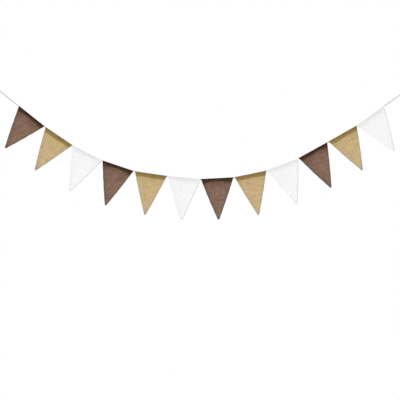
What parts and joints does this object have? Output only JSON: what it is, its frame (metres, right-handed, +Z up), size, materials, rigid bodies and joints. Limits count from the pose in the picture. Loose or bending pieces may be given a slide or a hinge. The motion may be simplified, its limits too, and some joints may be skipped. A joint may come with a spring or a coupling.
{
  "type": "bunting",
  "caption": "Hanging string of pointed cloth pennants on a thin cord that runs through their folded tops and ends in a tied loop at each side.",
  "frame": {"origin": "inside the end of the left loop, where a hook bears", "axes": "+X along the string from the left loop to the right one, -Y out of the face that shows, +Z up"},
  "size_m": [2.0042, 0.0116, 0.658],
  "materials": {
    "brown_cloth": "matt open-weave cloth, mid brown, darker where it lies double",
    "tan_cloth": "matt open-weave cloth, natural tan, darker where it lies double",
    "white_cloth": "matt open-weave cloth, white",
    "cord": "matt thin twisted cotton cord, light grey"
  },
  "bodies": {
    "root": {"pennant_01_brown": "brown_cloth", "pennant_02_tan": "tan_cloth", "pennant_03_white": "white_cloth", "pennant_04_brown": "brown_cloth", "pennant_05_tan": "tan_cloth", "pennant_06_white": "white_cloth", "pennant_07_brown": "brown_cloth", "pennant_08_tan": "tan_cloth", "pennant_09_white": "white_cloth", "pennant_10_brown": "brown_cloth", "pennant_11_tan": "tan_cloth", "pennant_12_white": "white_cloth", "cord": "cord", "left_loop": "cord", "right_loop": "cord"}
  },
  "joints": []
}
